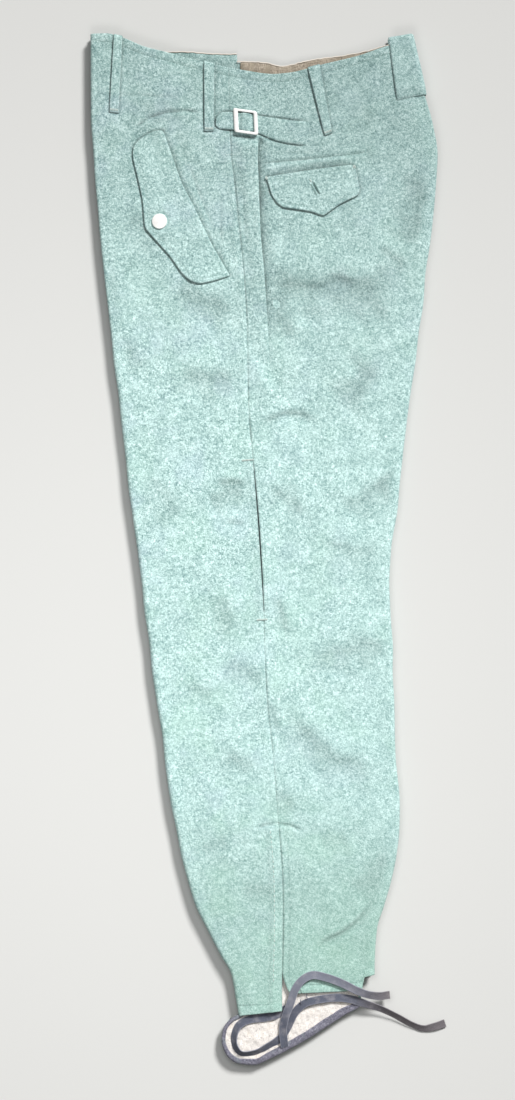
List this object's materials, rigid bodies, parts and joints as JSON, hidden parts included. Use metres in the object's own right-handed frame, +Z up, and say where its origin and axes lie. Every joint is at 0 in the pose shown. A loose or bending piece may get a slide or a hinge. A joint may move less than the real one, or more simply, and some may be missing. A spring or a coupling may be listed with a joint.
{
  "type": "paratrooper trousers",
  "caption": "Pale grey-green wool paratrooper trousers lying on their side, with flapped pockets, side adjusting straps, wide belt loops, open knee slits and ankle tapes.",
  "frame": {"origin": "centre of the garment's outline, on the surface it lies on", "axes": "+Y towards the waist, -X towards the front crease and the fly, +X towards the seat, +Z up from the surface; the wearer's left side is on top"},
  "size_m": [0.3923, 1.1338, 0.0205],
  "materials": {
    "wool": "napped wool, matt, mottled",
    "lining": "plain cotton, matt",
    "facing": "off-white cotton, matt, flecked",
    "tape": "woven herringbone tape, matt",
    "metal": "pale enamelled metal, satin"
  },
  "bodies": {
    "root": {"left_front": "wool", "left_back": "wool", "right_front": "wool", "right_back": "wool", "left_front_flap": "wool", "left_back_flap": "wool", "left_snap": "metal", "left_loop_front": "wool", "left_loop_side": "wool", "left_loop_back": "wool", "left_strap": "wool", "left_buckle": "metal", "right_front_flap": "wool", "right_back_flap": "wool", "right_snap": "metal", "right_loop_front": "wool", "right_loop_side": "wool", "right_loop_back": "wool", "right_strap": "wool", "right_buckle": "metal", "centre_back_loop": "wool", "right_waist_lining": "lining", "left_hem_facing": "facing", "ankle_tape_long": "tape", "ankle_tape_short": "tape"}
  },
  "joints": []
}
